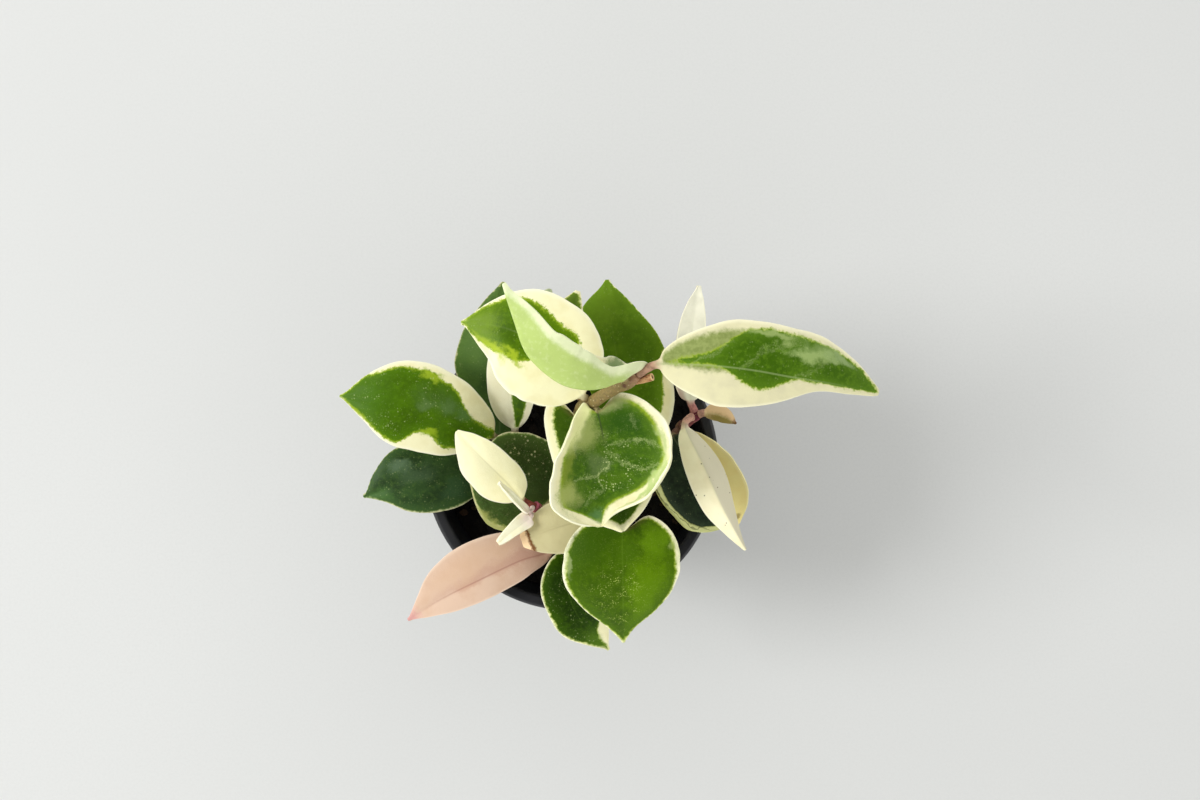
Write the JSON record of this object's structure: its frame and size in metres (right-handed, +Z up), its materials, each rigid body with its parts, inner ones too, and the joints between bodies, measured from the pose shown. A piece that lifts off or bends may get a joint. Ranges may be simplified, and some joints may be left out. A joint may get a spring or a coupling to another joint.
{
  "type": "potted hoya plant",
  "caption": "Variegated hoya houseplant with thick cream-and-green leaves on short stems in a small round plastic nursery pot of soil.",
  "frame": {"origin": "middle of the flat disc that the pot stands on", "axes": "+Z up out of the pot; +X to the right and +Y to the top of the picture, which looks straight down"},
  "size_m": [0.1722, 0.1273, 0.1566],
  "materials": {
    "pot_plastic": "thin black moulded plastic with a soft sheen",
    "soil": "dark damp potting mix of bark and peat",
    "woody_stem": "olive-tan bark, speckled",
    "young_stem": "smooth pink-red young stem",
    "variegated_leaf": "waxy, deep green centre with a cream margin",
    "dark_leaf": "waxy dark green with pale flecks",
    "pale_leaf": "smooth pale green underside",
    "cream_leaf": "waxy cream, in places straw or blush"
  },
  "bodies": {
    "root": {"pot": "pot_plastic", "soil": "soil", "stem_main": "woody_stem", "stem_left": "woody_stem", "stem_centre": "woody_stem", "stem_front": "young_stem", "stem_right": "young_stem", "leaf_cream_upper_left": "variegated_leaf", "leaf_cupped_front": "variegated_leaf", "leaf_long_right": "variegated_leaf", "leaf_folded_top": "pale_leaf", "leaf_back": "variegated_leaf", "leaf_back_left_dark": "dark_leaf", "leaf_striped_left": "variegated_leaf", "leaf_behind_upper": "variegated_leaf", "leaf_left": "variegated_leaf", "leaf_centre_dark": "dark_leaf", "leaf_lower_left_dark": "dark_leaf", "leaf_young_cream": "cream_leaf", "leaf_bud_upright": "cream_leaf", "leaf_bud_spread": "cream_leaf", "leaf_pink_front": "cream_leaf", "leaf_straw_centre": "cream_leaf", "leaf_heart_front": "variegated_leaf", "leaf_under_cupped": "variegated_leaf", "leaf_front_low": "variegated_leaf", "leaf_right_dark": "dark_leaf", "leaf_cream_right": "cream_leaf", "leaf_back_right_pale": "cream_leaf", "leaf_small_right": "cream_leaf"}
  },
  "joints": []
}
